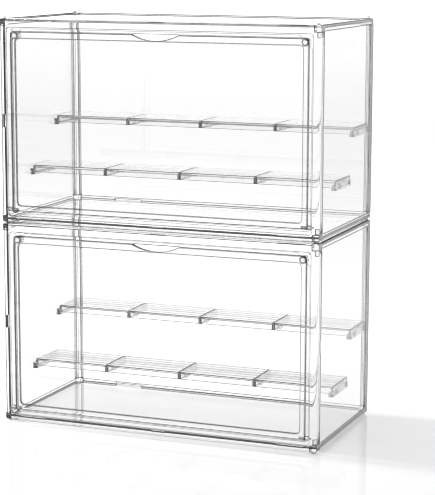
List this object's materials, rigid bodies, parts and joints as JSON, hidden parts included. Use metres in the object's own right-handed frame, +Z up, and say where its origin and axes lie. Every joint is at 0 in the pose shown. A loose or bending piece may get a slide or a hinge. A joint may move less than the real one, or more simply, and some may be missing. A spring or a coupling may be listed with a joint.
{
  "type": "shoe box",
  "caption": "Clear stacking shoe cases, one on the other, each with a drop-down front door held shut by magnets and a stepped pair of lift-out shelves.",
  "frame": {"origin": "centre of the lower case's base, on the surface that its feet stand on", "axes": "+Z up, +X along the cases' width to the right seen from the doors, +Y from the doors to the back"},
  "size_m": [0.36, 0.18, 0.4408],
  "materials": {
    "clear_frame": "clear polished moulding",
    "clear_panel": "clear polished sheet",
    "clear_door": "clear polished moulding",
    "clear_shelf": "clear moulding, ribbed below",
    "magnet_nickel": "nickel plated",
    "hinge_pin_steel": "bright drawn"
  },
  "bodies": {
    "lower_case": {"lower_back_panel": "clear_panel", "lower_bottom_corners": "clear_frame", "lower_bottom_panel": "clear_panel", "lower_frame_magnets": "magnet_nickel", "lower_front_frame": "clear_frame", "lower_front_shelf_brackets": "clear_shelf", "lower_hinge_pins": "hinge_pin_steel", "lower_left_side_panel": "clear_panel", "lower_rear_left_post": "clear_frame", "lower_rear_right_post": "clear_frame", "lower_rear_shelf_brackets": "clear_shelf", "lower_right_side_panel": "clear_panel", "lower_top_corners": "clear_frame", "lower_top_panel": "clear_panel"},
    "lower_door": {"lower_door": "clear_door", "lower_door_magnets": "magnet_nickel"},
    "lower_front_shelf": {"lower_front_shelf_clips": "clear_shelf", "lower_front_shelf_module_1": "clear_shelf", "lower_front_shelf_module_2": "clear_shelf", "lower_front_shelf_module_3": "clear_shelf", "lower_front_shelf_module_4": "clear_shelf"},
    "lower_rear_shelf": {"lower_rear_shelf_clips": "clear_shelf", "lower_rear_shelf_module_1": "clear_shelf", "lower_rear_shelf_module_2": "clear_shelf", "lower_rear_shelf_module_3": "clear_shelf", "lower_rear_shelf_module_4": "clear_shelf"},
    "upper_case": {"upper_back_panel": "clear_panel", "upper_bottom_corners": "clear_frame", "upper_bottom_panel": "clear_panel", "upper_frame_magnets": "magnet_nickel", "upper_front_frame": "clear_frame", "upper_front_shelf_brackets": "clear_shelf", "upper_hinge_pins": "hinge_pin_steel", "upper_left_side_panel": "clear_panel", "upper_rear_left_post": "clear_frame", "upper_rear_right_post": "clear_frame", "upper_rear_shelf_brackets": "clear_shelf", "upper_right_side_panel": "clear_panel", "upper_top_corners": "clear_frame", "upper_top_panel": "clear_panel"},
    "upper_door": {"upper_door": "clear_door", "upper_door_magnets": "magnet_nickel"},
    "upper_front_shelf": {"upper_front_shelf_clips": "clear_shelf", "upper_front_shelf_module_1": "clear_shelf", "upper_front_shelf_module_2": "clear_shelf", "upper_front_shelf_module_3": "clear_shelf", "upper_front_shelf_module_4": "clear_shelf"},
    "upper_rear_shelf": {"upper_rear_shelf_clips": "clear_shelf", "upper_rear_shelf_module_1": "clear_shelf", "upper_rear_shelf_module_2": "clear_shelf", "upper_rear_shelf_module_3": "clear_shelf", "upper_rear_shelf_module_4": "clear_shelf"}
  },
  "joints": [
    {"name": "lower_door_hinge", "type": "hinge", "parent": "lower_case", "child": "lower_door", "pos_m": [0, -0.0876, 0.0159], "axis": [1, 0, 0], "range_deg": [0, 90]},
    {"name": "lower_front_shelf_lift", "type": "slide", "parent": "lower_case", "child": "lower_front_shelf", "axis": [0, 0, 1], "range_m": [0, 0.03]},
    {"name": "lower_rear_shelf_lift", "type": "slide", "parent": "lower_case", "child": "lower_rear_shelf", "axis": [0, 0, 1], "range_m": [0, 0.03]},
    {"name": "upper_door_hinge", "type": "hinge", "parent": "upper_case", "child": "upper_door", "pos_m": [0, -0.0876, 0.2354], "axis": [1, 0, 0], "range_deg": [0, 90]},
    {"name": "upper_front_shelf_lift", "type": "slide", "parent": "upper_case", "child": "upper_front_shelf", "axis": [0, 0, 1], "range_m": [0, 0.03]},
    {"name": "upper_rear_shelf_lift", "type": "slide", "parent": "upper_case", "child": "upper_rear_shelf", "axis": [0, 0, 1], "range_m": [0, 0.03]},
    {"name": "upper_case_lift", "type": "slide", "parent": "lower_case", "child": "upper_case", "axis": [0, 0, 1], "range_m": [0, 0.05]}
  ]
}
